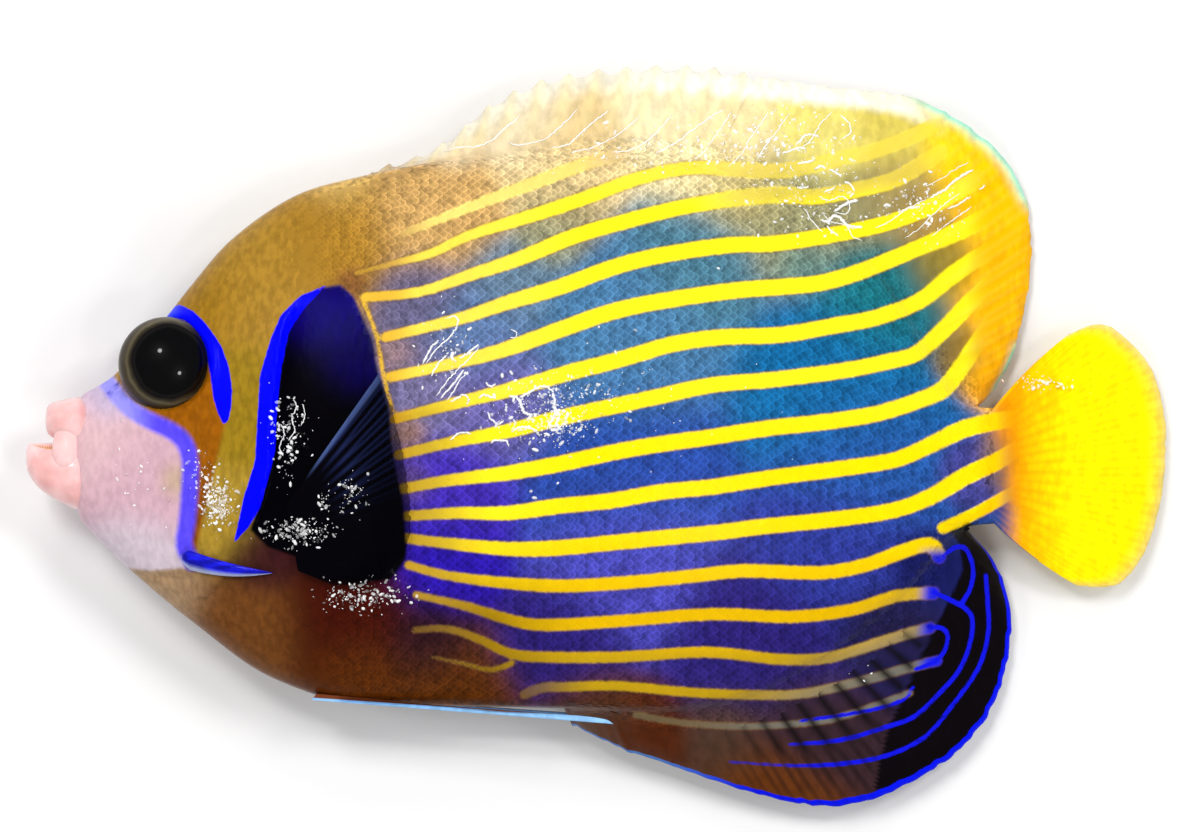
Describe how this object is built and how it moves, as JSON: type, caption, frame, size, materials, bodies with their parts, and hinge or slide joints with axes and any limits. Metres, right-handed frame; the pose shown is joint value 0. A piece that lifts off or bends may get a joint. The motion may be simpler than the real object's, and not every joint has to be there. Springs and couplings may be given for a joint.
{
  "type": "emperor angelfish",
  "caption": "Life-size still model of an emperor angelfish lying on its right side, with head, gill covers, cheek spines, rayed fins and rounded tail fin.",
  "frame": {"origin": "on the floor, under the centre of the fish's bounding box", "axes": "head towards -X, tail fin towards +X, back and dorsal fin towards +Y, left flank up towards +Z; it lies on its right side on the floor at z = 0"},
  "size_m": [0.146, 0.0952, 0.0229],
  "materials": {
    "head_skin": "wet skin, pink and gold brown",
    "lips": "moist, pale pink",
    "eyes": "wet and glossy",
    "gill_covers": "wet skin, gold brown",
    "cheek_spines": "smooth and wet, blue",
    "trunk_skin": "wet scales, blue with yellow lines",
    "tail_stalk_skin": "wet scales, orange",
    "dorsal_fin_front": "wet membrane over spines, pale brown",
    "dorsal_fin_rear": "wet membrane over rays, yellow",
    "anal_fin": "wet membrane over rays, dark with blue lines",
    "caudal_fin": "wet membrane over rays, yellow",
    "pectoral_fins": "wet and thin, blue grey",
    "pelvic_fins": "wet, brown with a pale blue edge"
  },
  "bodies": {
    "root": {"head": "head_skin", "upper_lip": "lips", "lower_jaw": "lips", "eye_left": "eyes", "eye_right": "eyes", "gill_cover_left": "gill_covers", "gill_cover_right": "gill_covers", "cheek_spine_left": "cheek_spines", "cheek_spine_right": "cheek_spines", "trunk": "trunk_skin", "tail_stalk": "tail_stalk_skin", "dorsal_fin_spiny": "dorsal_fin_front", "dorsal_fin_soft": "dorsal_fin_rear", "anal_fin": "anal_fin", "caudal_fin": "caudal_fin", "pectoral_fin_left": "pectoral_fins", "pectoral_fin_right": "pectoral_fins", "pelvic_fin_left": "pelvic_fins", "pelvic_fin_right": "pelvic_fins"}
  },
  "joints": []
}
